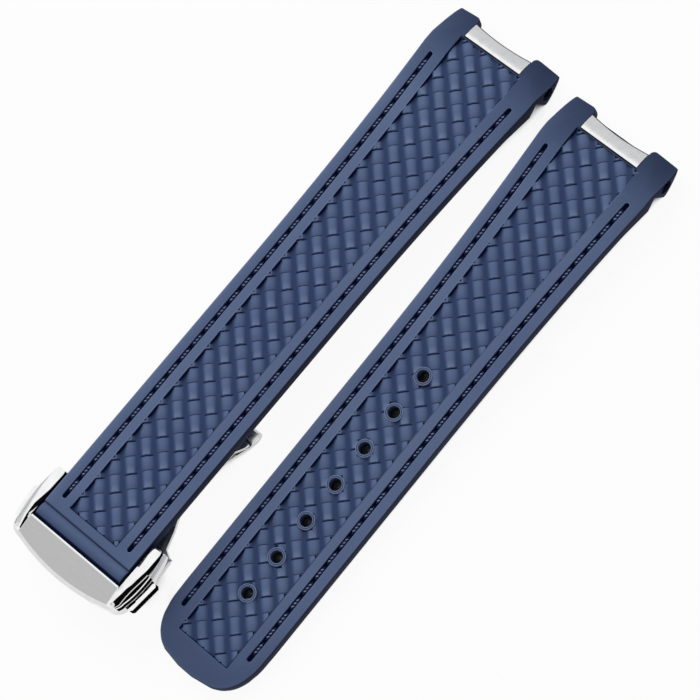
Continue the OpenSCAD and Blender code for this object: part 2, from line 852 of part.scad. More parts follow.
module upper_blade() {
    clear = knuckle_r + 0.3;
    bend_z = bow(bow_end, blade_bow_r, upper_z);
    color(brushed_colour) at_clasp() difference() {
        union() {
            intersection() {
                across(knuckle_l) bow_strip(blade_bow_r, upper_z, bow_end, blade_l);
                between(blades_low, blades_high) half_plan(concat(upper_outline, [
                    [knuckle_l / 2, blade_l - clear], [knuckle_l / 4, blade_l - clear],
                    [knuckle_l / 4, blade_l]
                ]));
            }
            // Flat stretch under the roll, then a narrow neck to the hinge
            intersection() {
                across(blade_half_w) polygon([
                    [bow_end, bend_z + blade_t / 2], [bow_end, bend_z - blade_t / 2],
                    [hinge_y, hinge_z - blade_t / 2], [hinge_y, hinge_z + blade_t / 2]
                ]);
                between(blades_low, blades_high) half_plan([
                    [blade_half_w, bow_end], [blade_half_w, hinge_y + neck_l],
                    [neck_half, hinge_y + neck_l], [neck_half, hinge_y]
                ]);
            }
            cross_rod_at(hinge_y, hinge_z, cover_knuckle_r, neck_half);
            cross_rod_at(blade_l, tip_z, knuckle_r, knuckle_l / 4);
        }
        cross_rod_at(hinge_y, hinge_z, pin_r + running, neck_half + eps);
        cross_rod_at(blade_l, tip_z, pin_r + running, knuckle_l / 4 + eps);
    }
}

module blade_hinge_pin() {
    color(polished_colour) at_clasp() cross_rod_at(blade_l, tip_z, pin_r, knuckle_l / 2);
}

frame_pivot_y = -1.6;
frame_pivot_z = -5.95;
frame_pin_r = 0.4;
frame_eye_r = 0.8;
arm_in = half_w + 0.2;
arm_t = 0.6;
ear_in = arm_in + arm_t + 0.15;
ear_t = 0.8;

module lower_blade() {
    clear = knuckle_r + 0.3;
    inner = knuckle_l / 4 + running;
    end_slope = bow_slope(bow_end, lower_bow_r);
    bend_z = bow(bow_end, lower_bow_r, lower_z);
    end_z = bend_z + (lower_end - bow_end) * end_slope;
    color(brushed_colour) at_clasp() difference() {
        union() {
            intersection() {
                across(cheek_half_w) union() {
                    bow_strip(lower_bow_r, lower_z, bow_end, blade_l);
                    polygon([
                        [bow_end, bend_z + blade_t / 2], [bow_end, bend_z - blade_t / 2],
                        [lower_end, end_z - blade_t / 2], [lower_end, end_z + blade_t / 2]
                    ]);
                }
                between(blades_low, blades_high) half_plan(concat(lower_outline, [
                    [knuckle_l / 2, blade_l], [inner, blade_l], [inner, blade_l - clear],
                    [0, blade_l - clear]
                ]));
            }
            // Cheeks that stand up under the lugs
            both_sides() translate([cheek_in, 0, 0]) rotate([90, 0, 90])
                linear_extrude(cheek_half_w - cheek_in) cheek_side();
            both_sides() translate([inner, blade_l, tip_z]) rotate([0, 90, 0])
                cylinder(r = knuckle_r, h = knuckle_l / 2 - inner);
            // Ears that carry the peg frame
            both_sides() translate([ear_in, 0, 0]) rotate([90, 0, 90])
                linear_extrude(ear_t) pivot_ear_side();
        }
        cross_rod_at(blade_l, tip_z, pin_r + seat, knuckle_l);
        cross_rod_at(frame_pivot_y, frame_pivot_z, frame_pin_r + seat, cheek_half_w + eps);
        // Windows for the buttons' legs
        both_sides() translate([window_in, leg_back - window_room, blades_low])
            cube([window_w, leg_front - leg_back + 2 * window_room, -blades_low]);
    }
}

// A cheek seen from its side
module cheek_side() {
    top = -lug_low - 0.3;
    back = 2.9;
    polygon([
        [back, top - 1.2], [back, top - 0.5], [back + cheek_edge, top],
        [cheek_end - cheek_edge, top], [cheek_end, top - cheek_edge], [cheek_end, top - 0.8]
    ]);
}

// A pivot ear seen from its side
module pivot_ear_side() {
    translate([frame_pivot_y, frame_pivot_z]) circle(r = frame_eye_r);
    translate([frame_pivot_y - frame_eye_r, frame_pivot_z]) square([2 * frame_eye_r, 1.5]);
}

// An arm of the peg frame seen from its side: the eye and the stretch to the bridge
module arm_side() {
    translate([frame_pivot_y, frame_pivot_z]) circle(r = frame_eye_r);
    polygon([
        [frame_front, frame_t / 2 - frame_low],
        [frame_front, 1.5 * frame_t - frame_low],
        [frame_pivot_y, frame_pivot_z + frame_eye_r],
        [frame_pivot_y, frame_pivot_z - frame_eye_r + 0.1],
        [frame_back, frame_t / 2 - frame_low]
    ]);
}

// Peg frame: a bridge under the strap channel, with an arm and a pivot on each side
module peg_frame() {
    plate_z = -frame_low;
    color(brushed_colour) at_clasp() difference() {
        union() {
            translate([-arm_in - arm_t, frame_back, plate_z])
                cube([2 * (arm_in + arm_t), frame_front - frame_back, frame_t]);
            both_sides() translate([arm_in, 0, 0]) rotate([90, 0, 90]) linear_extrude(arm_t) arm_side();
        }
        cross_rod_at(frame_pivot_y, frame_pivot_z, frame_pin_r + running, arm_in + arm_t + eps);
        translate([0, frame_mid, plate_z - eps])
            cylinder(r = peg_r - 0.2 + seat, h = frame_t + 2 * eps);
    }
}

module peg_frame_pins() {
    color(polished_colour) at_clasp() both_sides()
        translate([arm_in, frame_pivot_y, frame_pivot_z]) rotate([0, 90, 0])
            cylinder(r = frame_pin_r, h = ear_in + ear_t - arm_in);
}

module strap_peg() {
    color(polished_colour) at_clasp()
        translate([0, frame_mid, -frame_low]) {
            cylinder(r = peg_r - 0.2, h = frame_t + 0.3);
            translate([0, 0, frame_t + seat]) cylinder(r = peg_r, h = peg_h);
        }
}

clasp_strap();
clasp_strap_end_plate();
clasp_strap_bar_tube();
clasp_bar_barrel();
clasp_bar_tip_left();
clasp_bar_tip_right();
clasp_bar_spring();
clasp_cover();
cover_hinge_pin();
push_button_left();
push_button_right();
button_spring_left();
button_spring_right();
upper_blade();
blade_hinge_pin();
lower_blade();
peg_frame();
peg_frame_pins();
strap_peg();
tail_strap();
tail_strap_end_plate();
tail_strap_bar_tube();
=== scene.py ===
import math
import bmesh
import bpy
from mathutils import Matrix, Vector


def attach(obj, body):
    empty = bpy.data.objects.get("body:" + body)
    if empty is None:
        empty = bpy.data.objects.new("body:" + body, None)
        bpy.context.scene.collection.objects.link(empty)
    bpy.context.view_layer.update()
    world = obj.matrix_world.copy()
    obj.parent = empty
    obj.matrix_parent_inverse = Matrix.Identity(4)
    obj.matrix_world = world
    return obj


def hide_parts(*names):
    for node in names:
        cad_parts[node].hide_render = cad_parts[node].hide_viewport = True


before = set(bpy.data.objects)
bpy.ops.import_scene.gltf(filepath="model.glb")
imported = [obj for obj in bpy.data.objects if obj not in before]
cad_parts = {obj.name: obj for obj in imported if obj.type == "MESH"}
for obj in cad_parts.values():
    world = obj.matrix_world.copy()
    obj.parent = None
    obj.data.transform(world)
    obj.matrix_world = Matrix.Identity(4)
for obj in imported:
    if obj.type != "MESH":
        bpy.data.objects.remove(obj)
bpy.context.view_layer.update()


# Table top, lamps and view
# The two straps lie side by side on a white sheet in a white room, under two big soft lamps.
# The lens is a long one, held almost straight above the straps.

sheet_half = 1.5
sheet_glow = 0.93
painted_shadow_colour = (0.03, 0.04, 0.04)
sheet_colour = (0.7, 0.7, 0.7)
shadow_reach = 0.006


def cleared_tree(owner):
    """The emptied node tree of a material or of the world."""
    owner.use_nodes = True
    owner.node_tree.nodes.clear()
    return owner.node_tree


def add_node(tree, kind, values=None, links=None, options=None):
    """Adds a shader node with its options, its inputs' values and what is linked to its inputs."""
    made = tree.nodes.new("ShaderNode" + kind)
    for name, option in (options or {}).items():
        setattr(made, name, option)
    for name, value in (values or {}).items():
        made.inputs[name].default_value = value
    for name, source in (links or {}).items():
        tree.links.new(source, made.inputs[name])
    return made


def add_ramp(tree, source, stops):
    """A colour ramp over the source, from two stops of place and colour."""
    ramp = add_node(tree, "ValToRGB", links={"Fac": source})
    for stop, (place, colour) in zip(ramp.color_ramp.elements, stops):
        stop.position = place
        stop.color = (*colour, 1)
    return ramp.outputs["Color"]


def seen_by(tree, *rays):
    """1 for what the camera or one of the named rays sees, and 0 for light that falls on a piece."""
    path = add_node(tree, "LightPath")
    seen = path.outputs["Is Camera Ray"]
    for ray in rays:
        either = add_node(
            tree, "Math", links={0: seen, 1: path.outputs[ray]}, options={"operation": "MAXIMUM"},
        )
        seen = either.outputs[0]
    return seen


sheet_bm = bmesh.new()
bmesh.ops.create_grid(sheet_bm, x_segments=1, y_segments=1, size=sheet_half)
sheet_mesh = bpy.data.meshes.new("white_sheet")
sheet_bm.to_mesh(sheet_mesh)
sheet_bm.free()
white_sheet = bpy.data.objects.new("white_sheet", sheet_mesh)
bpy.context.collection.objects.link(white_sheet)

paper = bpy.data.materials.new("white_paper")
tree = cleared_tree(paper)
# The sheet's colour is a painted shadow: it turns nearly black where the straps cover it, under them and
# inside the holes, and its glow fades there too.
open_sky = add_node(tree, "AmbientOcclusion", {"Distance": shadow_reach}).outputs["AO"]
sheet_with_painted_shadow = add_ramp(tree, open_sky, ((0.18, painted_shadow_colour), (0.36, sheet_colour)))
lit_paper = add_node(tree, "BsdfDiffuse", links={"Color": sheet_with_painted_shadow})
glowing_paper = add_node(tree, "Emission", {"Strength": 1.0})
uncovered = add_node(
    tree, "MapRange", {"From Min": 0.2, "From Max": 0.42, "To Max": sheet_glow},
    {"Value": open_sky}, {"interpolation_type": "SMOOTHSTEP"},
)
glow_share = add_node(
    tree, "Math", links={0: seen_by(tree, "Is Glossy Ray"), 1: uncovered.outputs["Result"]},
    options={"operation": "MULTIPLY"},
)
paper_mix = add_node(
    tree, "MixShader",
    links={"Fac": glow_share.outputs[0], 1: lit_paper.outputs[0], 2: glowing_paper.outputs[0]},
)
add_node(tree, "OutputMaterial", links={"Surface": paper_mix.outputs[0]})
white_sheet.data.materials.append(paper)

studio = bpy.data.worlds.new("studio")
bpy.context.scene.world = studio
tree = cleared_tree(studio)
soft_light = add_node(tree, "Background", {"Color": (0.93, 0.96, 1.0, 1), "Strength": 0.45})
white_room = add_node(tree, "Background", {"Color": (1, 1, 1, 1), "Strength": 1.0})
room_mix = add_node(
    tree, "MixShader",
    links={
        "Fac": seen_by(tree, "Is Glossy Ray", "Is Transmission Ray"),
        1: soft_light.outputs[0],
        2: white_room.outputs[0],
    },
)
add_node(tree, "OutputWorld", links={"Surface": room_mix.outputs[0]})


def soft_lamp(name, place, size, watts):
    """A square lamp that points at the middle of the sheet. The steel doesn't mirror its outline."""
    lamp = bpy.data.lights.new(name, "AREA")
    lamp.shape = "SQUARE"
    lamp.size = size
    lamp.energy = watts
    holder = bpy.data.objects.new(name, lamp)
    bpy.context.collection.objects.link(holder)
    holder.location = place
    holder.rotation_euler = (-Vector(place)).to_track_quat("-Z", "Y").to_euler()
    holder.visible_glossy = False


soft_lamp("big_lamp", (-0.6, 0.24, 0.58), 0.8, 6.8)
soft_lamp("fill_lamp", (0.3, -0.1, 0.9), 0.6, 1.1)

view_right = Vector((0.738543, 0.629896, -0.240388))
view_up = Vector((-0.572979, 0.77431, 0.268588))
view_back = Vector((0.355317, -0.060627, 0.932778))
view_place = (0.164068, -0.0269, 0.430839)
lens = bpy.data.cameras.new("lens")
lens.lens = 154.85
lens.sensor_width = 36
lens.clip_start = 0.01
lens.clip_end = 10
camera = bpy.data.objects.new("camera", lens)
bpy.context.collection.objects.link(camera)
view_turn = Matrix((view_right, view_up, view_back)).transposed().to_4x4()
camera.matrix_world = Matrix.Translation(view_place) @ view_turn
bpy.context.scene.camera = camera
bpy.context.scene.view_settings.view_transform = "Standard"


# Moulded strap bodies
# Each half is one piece of navy silicone, pressed in a steel mould.
# It has curved ears, a foot that grips the case, two grooves for the stitches and a sunk panel.
# The clasp strap ends in a roll round the clasp's spring bar, and the tail strap has seven holes.

# Sizes of both halves in millimetres. What ends in _at, _start or _end is measured from the ear tips.
half_w = 9.0
strap_t = 2.3
edge_r = 0.3
low_edge_r = 0.25
front_edge_r = 0.14

shoulder_rise = 1.418
shoulder_at = 8.0
flare_start = 55.0
flare_power = 2.3
side_round = 4.0
ear_half = 9.95
ear_l = 5.5
ear_drop = 1.05
ear_r = (ear_l ** 2 + ear_drop ** 2) / (2 * ear_drop)
ear_round = 0.8
ear_blend = 0.07
tip_low = 2.6506
tip_edge = 0.5
side_fall = math.tan(math.radians(17))
end_fall = math.tan(math.radians(20.5))

gap_half = 5.56
notch_end = 1.8
notch_floor = -2.56
plate_at = 1.1
plate_end = 4.0
plate_r = 6.794
plate_t = 0.7
plate_gap = 0.01
tube_at = 3.3
tube_low = 2.4
tube_r = 1.16
drill_half = 12

panel_start = 4.055
panel_half = 4.9
panel_depth = 0.5
groove_x = 6.9
groove_half = 0.425
groove_depth = 0.55
groove_reach = 0.56

clasp_strap_l = 101.6
clasp_panel_end = clasp_strap_l - 2.9
clasp_groove = (9.35, 97.8)
roll_r = 1.9
roll_bore_r = 0.91
roll_start = 99.7
crease_at = 100.35
crease_round = 0.36

tail_strap_l = 105.5
tail_panel_end = tail_strap_l - 4.45
tail_groove = (9.35, 97.85)
tail_round_l = 10.5
tail_square = 2.9
hole_r = 1.0
hole_reach = 1.5
holes = [48.5 + 7 * k for k in range(7)]

# Profiles of the underside, of a hole's rim and of the rounded lips, as places and heights
foot_at = (0, 3.7, 3.9, 4.3, 4.45, 5.7, 5.9, 6.1, 7.6, 7.8, 8.1, 13.2)
foot_z = (-tip_low, -4.6, -4.65, -4.65, -4.5, -1.75, -1.5, -1.65, -2.9, -3.0, -2.98, -strap_t)
rim_at = (hole_r, 1.1, 1.18, 1.28, 1.4, 1.45, 1.48)
rim_z = (-0.05, 0.05, 0.06, 0.03, 0.05, 0.0, -panel_depth)
lip_at = (-0.12, -0.04, 0)
lip_drop = (0, 0.015, 0.06)

# Lines of the mesh beside the middle of a hole, the panel's wall, a groove's middle and the side
hole_lines = (0.35, 0.7) + rim_at
wall_lines = (-0.04, 0, 0.04, 0.12, 0.2)
groove_lines = (-0.55, -0.46, -groove_half, -0.4, -0.2, 0)
edge_lines = (edge_r, 0.16, 0.06, 0.015, 0)

mm = Matrix.Scale(0.001, 4)
clasp_place = (
    mm @ Matrix.Translation((-10.8534, 54.1421, 4.47677))
    @ Matrix.Rotation(math.radians(-2.54374), 4, "X")
)
tail_place = (
    mm @ Matrix.Translation((13.4966, 52.9921, 4.75099))
    @ Matrix.Rotation(math.radians(-0.45), 4, "Z")
    @ Matrix.Rotation(math.radians(1.33156), 4, "X")
)


def between_points(value, places, results):
    """The result at value on a line that bends at the given places."""
    if value <= places[0]:
        return results[0]
    for k in range(1, len(places)):
        if value <= places[k]:
            share = (value - places[k - 1]) / (places[k] - places[k - 1])
            return results[k - 1] + share * (results[k] - results[k - 1])
    return results[-1]


def ease(t):
    """Goes softly from 0 to 1."""
    t = min(max(t, 0), 1)
    return t * t * (3 - 2 * t)


def swell(d):
    """How much each side swells out at a distance d from the ear tips."""
    if d >= flare_start:
        return 0
    share = (flare_start - max(d, shoulder_at)) / (flare_start - shoulder_at)
    return shoulder_rise * share ** flare_power


def lane(x, d):
    """Where a line that runs at x along the straight strap lies in the swelling part."""
    return x + swell(d) * (0.5 + 0.5 * x / half_w)


def side_x(d):
    """Half the strap's width."""
    if d >= shoulder_at:
        return lane(half_w, d)
    full = half_w + shoulder_rise
    return full - (full - ear_half) * (1 - math.sqrt(1 - min(max(1 - d / side_round, 0), 1) ** 2))


def recess_x(d):
    """Half the width of the gap between the ears, and further on of the sunk panel."""
    if d < ear_round:
        return gap_half + ear_round - math.sqrt(ear_round ** 2 - (ear_round - max(d, 0)) ** 2)
    return gap_half if d < panel_start else lane(panel_half, d)


def plate_z(d):
    """Height of the end plate's curved top."""
    return math.sqrt(plate_r ** 2 - (plate_end - d) ** 2) - plate_r


def ear_z(x, d):
    """Height of the top before anything is sunk into it: a curved drop, met softly by a sloping face."""
    drop = 0 if d >= ear_l else math.sqrt(ear_r ** 2 - (ear_l - d) ** 2) - ear_r
    slope = -tip_low + tip_edge + (ear_half - x) * side_fall + d * end_fall
    if slope > drop + 1:
        return drop
    return -ear_blend * math.log(math.exp(-drop / ear_blend) + math.exp(-slope / ear_blend))


def round_off(s, r):
    """How much a rounded edge of radius r is lower at a distance s inside it."""
    return 0 if s >= r else r - math.sqrt(max(r * r - (r - s) ** 2, 0))


def lines_across(d):
    """Places of the mesh's lines on the right half, from the middle of the strap to its side."""
    lines = list(hole_lines)
    lines += [recess_x(d) + o for o in wall_lines]
    lines += [lane(groove_x, d) + o for o in groove_lines]
    lines += [lane(groove_x, d) - o for o in reversed(groove_lines[:-1])]
    lines += [side_x(d) - o for o in edge_lines]
    return lines


def lines_along(groove, panel_end, extra):
    """Places of the mesh's lines along a strap, measured from the ear tips."""
    places = [0, 0.05, 0.14, 0.3, 0.5, 0.8, plate_at, 1.78, 1.82, 2.3, 2.8, 3.3, 3.8, 3.99]
    places += [4.05, 4.06, 4.1, 4.22, 4.26, 4.4, 4.7, 5.1, 5.5, 5.9, 6.3, 6.8, 7.3, 7.8, 8.0, 8.4]
    places += [11, 12.2, 13.2]
    places += [15 + 2 * k for k in range(41)]
    places += [groove[0] + o for o in groove_lines]
    places += [groove[1] - o for o in groove_lines]
    places += [panel_end + o for o in wall_lines[:-1]]
    kept = []
    for place in sorted(places + extra):
        if not kept or place - kept[-1] > 0.009:
            kept.append(place)
    return kept


def top_z(a, d, edge, panel_end, groove):
    """Height of the top face at a from the middle, with the notch, the panel and the groove sunk in."""
    z = ear_z(a, d) - round_off(edge, edge_r) - round_off(d, front_edge_r)
    if d < panel_start:
        inside = recess_x(d) - a
        floor = notch_floor if d < notch_end else plate_z(d) - plate_t - plate_gap
        share = between_points(inside, (0, 0.04), (0, 1))
        z += (floor - z) * share
        if share == 0:
            z -= between_points(inside, lip_at, lip_drop)
    else:
        inside = min(recess_x(d) - a, panel_end - d)
        depth = between_points(inside, (*lip_at, 0.04), (*lip_drop, panel_depth))
        z -= min(depth, between_points(d, (4.06, 4.22, 4.26), (0.1, 0.1, panel_depth)))
    past = max(groove[0] - d, d - groove[1], 0)
    inside = groove_half - max(abs(a - lane(groove_x, d)), past)
    return z - between_points(inside, (-0.12, -0.035, 0, 0.025), (0, 0.02, 0.08, groove_depth))


def round_groove_end(a, d, groove):
    """Draws the square lines of the mesh round a groove's end into half circles."""
    off = a - lane(groove_x, d)
    past = max(groove[0] - d, d - groove[1])
    if abs(off) > groove_reach or not 0 < past < groove_reach:
        return a, d
    m = max(abs(off), past)
    end, way = (groove[0], -1) if d < groove[0] else (groove[1], 1)
    a += off * math.sqrt(1 - (past / m) ** 2 / 2) - off
    return a, end + way * past * math.sqrt(1 - (off / m) ** 2 / 2)


def round_hole(a, d, z, top):
    """Draws the square lines of the mesh round a hole into circles, with a raised rim on top."""
    for hole in holes:
        along = d - hole
        m = max(a, abs(along))
        if 0 < m < hole_reach:
            d = hole + along * math.sqrt(1 - (a / m) ** 2 / 2)
            a *= math.sqrt(1 - (along / m) ** 2 / 2)
            if top:
                z = between_points(m, rim_at, rim_z)
            elif m < 1.05:
                z += 0.04
            break
    return a, d, z


def on_roll(d, z, edge, top):
    """Bends the end of the clasp strap round the clasp's spring bar, past a crease on top."""
    reach = d - clasp_strap_l
    r = roll_r - round_off(edge, edge_r if top else low_edge_r)
    turn = math.asin(max(min(reach / roll_r, 1), -1))
    roll_d = clasp_strap_l + r * math.sin(turn)
    roll_z = r * math.cos(turn) - roll_r
    if not top:
        return (roll_d, -roll_r - r * math.cos(turn)) if reach > -1.857 else (d, z)
    if d >= crease_at:
        return roll_d, roll_z
    if d > crease_at - crease_round:
        return d, max(z - round_off(crease_at - d, crease_round), roll_z)
    return d, z


def round_tail(a, d):
    """Draws the square end of the tail strap into its rounded outline."""
    start = tail_strap_l - tail_round_l
    if d <= start:
        return a, d
    u, w = a / half_w, (d - start) / tail_round_l
    m = max(u, w)
    pull = m / max((u ** tail_square + w ** tail_square) ** (1 / tail_square), 1e-9)
    pull = 1 + (pull - 1) * ease((m - 0.6) / 0.4)
    return a * pull, start + w * pull * tail_round_l


def moulded_strap(rows, panel_end, groove, is_tail):
    """A closed mesh of one strap half, from a grid that is pressed into shape and given an underside."""
    bm = bmesh.new()
    middle = len(lines_across(0))
    bmesh.ops.create_grid(bm, x_segments=2 * middle, y_segments=len(rows) - 1, size=1)
    column_of = bm.verts.layers.int.new("column")
    row_of = bm.verts.layers.int.new("row")
    low_side = bm.verts.layers.int.new("low")
    for v in bm.verts:
        v[column_of] = round(v.co.x * middle)
        v[row_of] = round((v.co.y + 1) / 2 * (len(rows) - 1))
    hole_column = 1 + hole_lines.index(hole_r)
    gap_column = 1 + len(hole_lines) + wall_lines.index(0)
    gone = []
    for f in bm.faces:
        d = sum(rows[v[row_of]] for v in f.verts) / 4
        c = sum(abs(v[column_of]) for v in f.verts) / 4
        in_hole = is_tail and c < hole_column and any(abs(d - hole) < hole_r for hole in holes)
        if (d < plate_at and c < gap_column) or in_hole:
            gone.append(f)
    bmesh.ops.delete(bm, geom=gone, context="FACES")
    made = bmesh.ops.extrude_face_region(bm, geom=bm.faces[:], use_keep_orig=True)
    for v in made["geom"]:
        if isinstance(v, bmesh.types.BMVert):
            v[low_side] = 1

    across = [[0] + lines_across(d) for d in rows]
    for v in bm.verts:
        top = v[low_side] == 0
        d = rows[v[row_of]]
        a = across[v[row_of]][abs(v[column_of])]
        edge = side_x(d) - a
        if is_tail:
            edge = min(edge, tail_strap_l - d)
        if top:
            z = top_z(a, d, edge, panel_end, groove)
        else:
            z = between_points(d, foot_at, foot_z) + round_off(edge, low_edge_r)
        a, d = round_groove_end(a, d, groove)
        if is_tail:
            a, d, z = round_hole(a, d, z, top)
            a, d = round_tail(a, d)
        elif d > roll_start:
            d, z = on_roll(d, z, edge, top)
        v.co = (math.copysign(a, v[column_of]), -d, z)
    bmesh.ops.remove_doubles(bm, verts=bm.verts, dist=0.0005)
    bmesh.ops.recalc_face_normals(bm, faces=bm.faces)
    return bm


def rod(bm, r, half, place):
    """A rod across the strap."""
    bmesh.ops.create_cone(
        bm, cap_ends=True, segments=48, radius1=r, radius2=r, depth=2 * half,
        matrix=Matrix.Translation(place) @ Matrix.Rotation(math.pi / 2, 4, "Y"),
    )


def piece(name, bm, body, material, place, smooth_angle):
    """Makes a finished object of a mesh drawn in millimetres and lets it ride on its body."""
    bmesh.ops.transform(bm, matrix=place, verts=bm.verts)
    mesh = bpy.data.meshes.new(name)
    bm.to_mesh(mesh)
    bm.free()
    mesh.shade_smooth()
    mesh.set_sharp_from_angle(angle=math.radians(smooth_angle))
    obj = bpy.data.objects.new(name, mesh)
    bpy.context.collection.objects.link(obj)
    mesh.materials.append(material)
    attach(obj, body)
    return obj


def bored(bm, cutter_bm):
    """The mesh with the rods of the cutter taken out."""
    made = []
    for name, source in (("blank", bm), ("drill", cutter_bm)):
        mesh = bpy.data.meshes.new(name)
        source.to_mesh(mesh)
        source.free()
        obj = bpy.data.objects.new(name, mesh)
        bpy.context.collection.objects.link(obj)
        made.append(obj)
    blank, drill = made
    cut = blank.modifiers.new("bore", "BOOLEAN")
    cut.operation = "DIFFERENCE"
    cut.solver = "EXACT"
    cut.object = drill
    shaped = blank.evaluated_get(bpy.context.evaluated_depsgraph_get())
    result = bmesh.new()
    result.from_mesh(shaped.to_mesh())
    for obj in made:
        mesh = obj.data
        bpy.data.objects.remove(obj)
        bpy.data.meshes.remove(mesh)
    return result


def shaded(obj, place, rule):
    """Stores on each point its painted tone, from 1 for painted shade in a groove to below 0 for a
    painted highlight on an edge.
    """
    layer = obj.data.attributes.new("painted_light_tone", "FLOAT", "POINT")
    back = place.inverted()
    for k, v in enumerate(obj.data.vertices):
        layer.data[k].value = rule(back @ v.co)


def silicone(name, base, dark, shine):
    """Matt navy silicone: even dye, fine mould grain, painted shade in recesses and painted highlights
    along edges, with less sheen where shade is painted.
    """
    material = bpy.data.materials.new(name)
    tree = cleared_tree(material)
    place = add_node(tree, "TexCoord").outputs["Object"]
    cloud = add_node(tree, "TexNoise", {"Scale": 70, "Detail": 3}, {"Vector": place})
    dull = (base[0] * 0.93, base[1] * 0.93, base[2] * 0.98)
    fresh = [c * 1.06 for c in base]
    dye = add_ramp(tree, cloud.outputs["Fac"], ((0.3, dull), (0.7, fresh)))
    # The stored tone mixes in the dark colour as painted shade.
    tone = add_node(tree, "Attribute", options={"attribute_name": "painted_light_tone"}).outputs["Fac"]
    darkened = add_node(
        tree, "Mix", {"B": (*dark, 1)}, {"Factor": tone, "A": dye}, {"data_type": "RGBA"},
    )
    # Tones below 0 mix in a lighter blue: a painted highlight.
    painted_highlight = add_node(tree, "MapRange", {"From Max": -1}, {"Value": tone})
    lightened = add_node(
        tree, "Mix", {"B": (0.28, 0.33, 0.5, 1)},
        {"Factor": painted_highlight.outputs["Result"], "A": darkened.outputs["Result"]}, {"data_type": "RGBA"},
    )
    sheen = add_node(tree, "MapRange", {"To Min": shine, "To Max": 0.02}, {"Value": tone})
    grain = add_node(tree, "TexNoise", {"Scale": 5200, "Detail": 2}, {"Vector": place})
    wiped = add_node(tree, "TexNoise", {"Scale": 240, "Detail": 4}, {"Vector": place})
    gloss = add_node(tree, "MapRange", {"To Min": 0.46, "To Max": 0.6}, {"Value": wiped.outputs["Fac"]})
    relief = add_node(
        tree, "Bump", {"Strength": 0.12, "Distance": 0.00004}, {"Height": grain.outputs["Fac"]},
    )
    shader = add_node(tree, "BsdfPrincipled", {"IOR": 1.41}, {
        "Base Color": lightened.outputs["Result"],
        "Specular IOR Level": sheen.outputs["Result"],
        "Roughness": gloss.outputs["Result"],
        "Normal": relief.outputs["Normal"],
    })
    add_node(tree, "OutputMaterial", links={"Surface": shader.outputs[0]})
    return material


def body_tone(groove, length, panel_end, is_tail):
    """The rule for a strap's painted tones: painted shade in grooves, bores, walls, the crease and on the
    ears, painted highlights along edges.
    """

    def rule(p):
        d, a = -p.y, abs(p.x)
        off = abs(a - lane(groove_x, d))
        past = max(groove[0] - d, d - groove[1], 0)
        from_groove = math.hypot(off, past)
        on_tail_end = is_tail and d > length - tail_round_l
        # Painted shade in the groove, and a painted highlight along its edges.
        if from_groove < 0.44 and -groove_depth - 0.01 < p.z < -0.1:
            return 1
        if from_groove < 0.5 and p.z > -0.1 and not on_tail_end:
            return -0.3
        edge = side_x(d) - a
        if on_tail_end:
            u, w = a / half_w, (d - length + tail_round_l) / tail_round_l
            edge = 9.6 * (1 - (u ** tail_square + w ** tail_square) ** (1 / tail_square))
        # Painted shade in each bore and round the rim's foot, with painted highlights and shade across
        # the rim.
        for hole in holes if is_tail else ():
            m = math.hypot(a, d - hole)
            if m < 1.04:
                return 0.95 if p.z < -0.12 else 0
            if m < hole_reach and p.z > -0.2:
                return between_points(m, (1.1, 1.14, 1.3, 1.38, 1.42), (-0.45, 0.3, 0.6, -0.3, -0.75))
            if m < hole_reach:
                return 0.9
        inside = recess_x(d) - a
        # Painted shade on the panel's walls, and painted shadow lines at the panel's end and along its
        # right border.
        if d < length - 2 and p.z < -0.2 and -0.02 < inside < 0.06:
            return 0.85
        beyond = d - panel_end
        if inside > -0.05 and p.z > -0.6 and -0.05 < beyond < 0.13:
            return between_points(beyond, (0.04, 0.12), (1, 0.2))
        if p.x > 0 and -0.13 < inside < 0.02 and p.z > -0.2 and 12 < d < panel_end:
            return between_points(d, (12, 60, 100), (0.2, 0.35, 0.8))
        # Painted shade on the side walls and on the ear tips' front faces.
        if edge < 0.03:
            return 0.9
        if d < 0.02:
            return 0.6
        # Painted shade at the foot of the rounded edge and a painted highlight on it, then painted shade
        # that grows toward the ear tips.
        tone = between_points(edge, (0.03, 0.08, 0.18, 0.32), (0.6, -0.1, -0.32, 0))
        tone += between_points(d, (0, 3, 8, 16), (0.68, 0.56, 0.25, 0))
        # A band of painted light on the border between the panel and the grooves, strongest beside the
        # panel.
        if inside < -0.03 and a < lane(groove_x, d) - 0.45 and 8 < d < length - 5:
            tone -= 0.25 if inside > -0.13 else 0.06
        # Painted shade that darkens the tail's last 20 mm.
        if is_tail:
            return tone + between_points(d, (85, 105), (0, 0.3))
        # Painted shade in the crease and on the roll's far side, beside the cover.
        if d > 100.2:
            crease = between_points(abs(d - crease_at), (0.03, 0.2), (0.5, 0))
            tone = max(tone, crease, between_points(d, (101.3, 102.3, 102.5, 102.62), (0, 0.3, 0.4, 1)))
        return tone
    return rule


navy = silicone("navy_silicone", (0.07, 0.1, 0.183), (0.001, 0.004, 0.022), 0.26)

clasp_rows = lines_along(clasp_groove, clasp_panel_end, [
    98.95, 99.3, 99.74, 100, 100.12, 100.22, 100.29, 100.33, 100.35, 100.42, 100.6, 100.85, 101.15,
    101.45, 101.75, 102.05, 102.35, 102.62, 102.87, 103.08, 103.25, 103.37, 103.45, 103.49, 103.5,
])
bm = moulded_strap(clasp_rows, clasp_panel_end, clasp_groove, False)
drill = bmesh.new()
rod(drill, tube_r, drill_half, (0, -tube_at, -tube_low))
rod(drill, roll_bore_r, drill_half, (0, -clasp_strap_l, -roll_r))
clasp_body = piece("clasp_strap_body", bored(bm, drill), "clasp_strap", navy, clasp_place, 32)
shaded(clasp_body, clasp_place, body_tone(clasp_groove, clasp_strap_l, clasp_panel_end, False))
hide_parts("clasp_strap")

